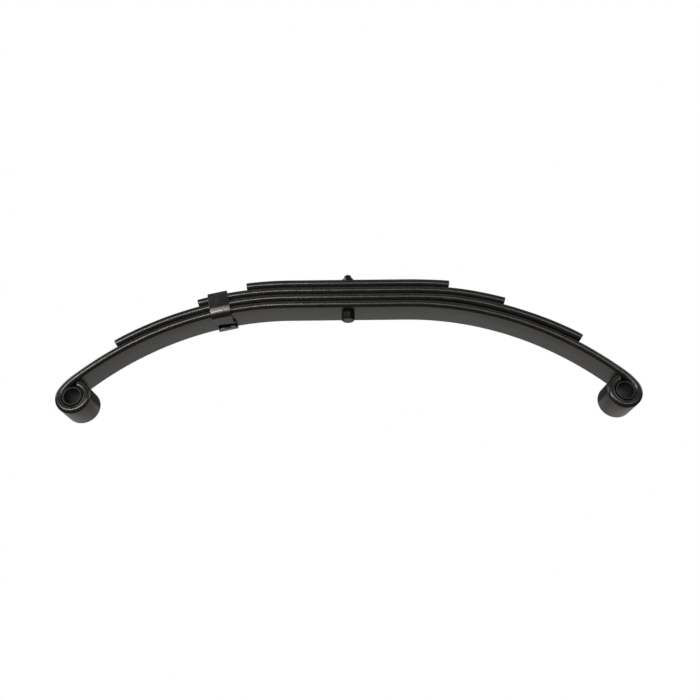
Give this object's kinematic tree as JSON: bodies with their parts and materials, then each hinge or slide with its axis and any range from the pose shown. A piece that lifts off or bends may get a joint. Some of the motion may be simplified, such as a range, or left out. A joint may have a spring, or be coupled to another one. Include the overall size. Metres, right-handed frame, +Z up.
{
  "type": "leaf spring",
  "caption": "Double-eye leaf spring for a trailer axle: a stack of curved steel leaves with rolled eyes and bushings, clamped by a centre bolt and held in line by a rebound clip.",
  "frame": {"origin": "on the ground plane midway between the two eyes, with the spring standing on its eyes, arch upwards", "axes": "+X along the spring from the clip end to the plain end, +Y across the leaves, +Z up"},
  "size_m": [0.6822, 0.0516, 0.1854],
  "materials": {
    "spring_steel_paint": "satin black paint over rolled spring steel",
    "clip_paint": "satin black paint over bent steel strap",
    "fastener_paint": "dull black paint over forged and threaded steel",
    "bushing_plastic": "matte black nylon"
  },
  "bodies": {
    "leaf_pack": {"main_leaf": "spring_steel_paint", "second_leaf": "spring_steel_paint", "third_leaf": "spring_steel_paint", "fourth_leaf": "spring_steel_paint", "center_bolt": "fastener_paint", "center_nut": "fastener_paint", "rebound_clip": "clip_paint", "clip_rivet": "clip_paint"},
    "left_eye_end": {"left_bushing": "bushing_plastic"},
    "right_eye_end": {"right_bushing": "bushing_plastic"}
  },
  "joints": [
    {"name": "left_arm_flex", "type": "hinge", "parent": "leaf_pack", "child": "left_eye_end", "pos_m": [-0.16, 0, 0.1268], "axis": [0, 1, 0], "range_deg": [0, 16], "stiffness_Nm_per_rad": 4400, "deforming": ["main_leaf", "second_leaf", "third_leaf", "fourth_leaf", "rebound_clip", "clip_rivet"]},
    {"name": "right_arm_flex", "type": "hinge", "parent": "leaf_pack", "child": "right_eye_end", "pos_m": [0.16, 0, 0.1268], "axis": [0, -1, 0], "range_deg": [0, 16], "stiffness_Nm_per_rad": 4400, "deforming": ["main_leaf", "second_leaf", "third_leaf", "fourth_leaf"]}
  ]
}
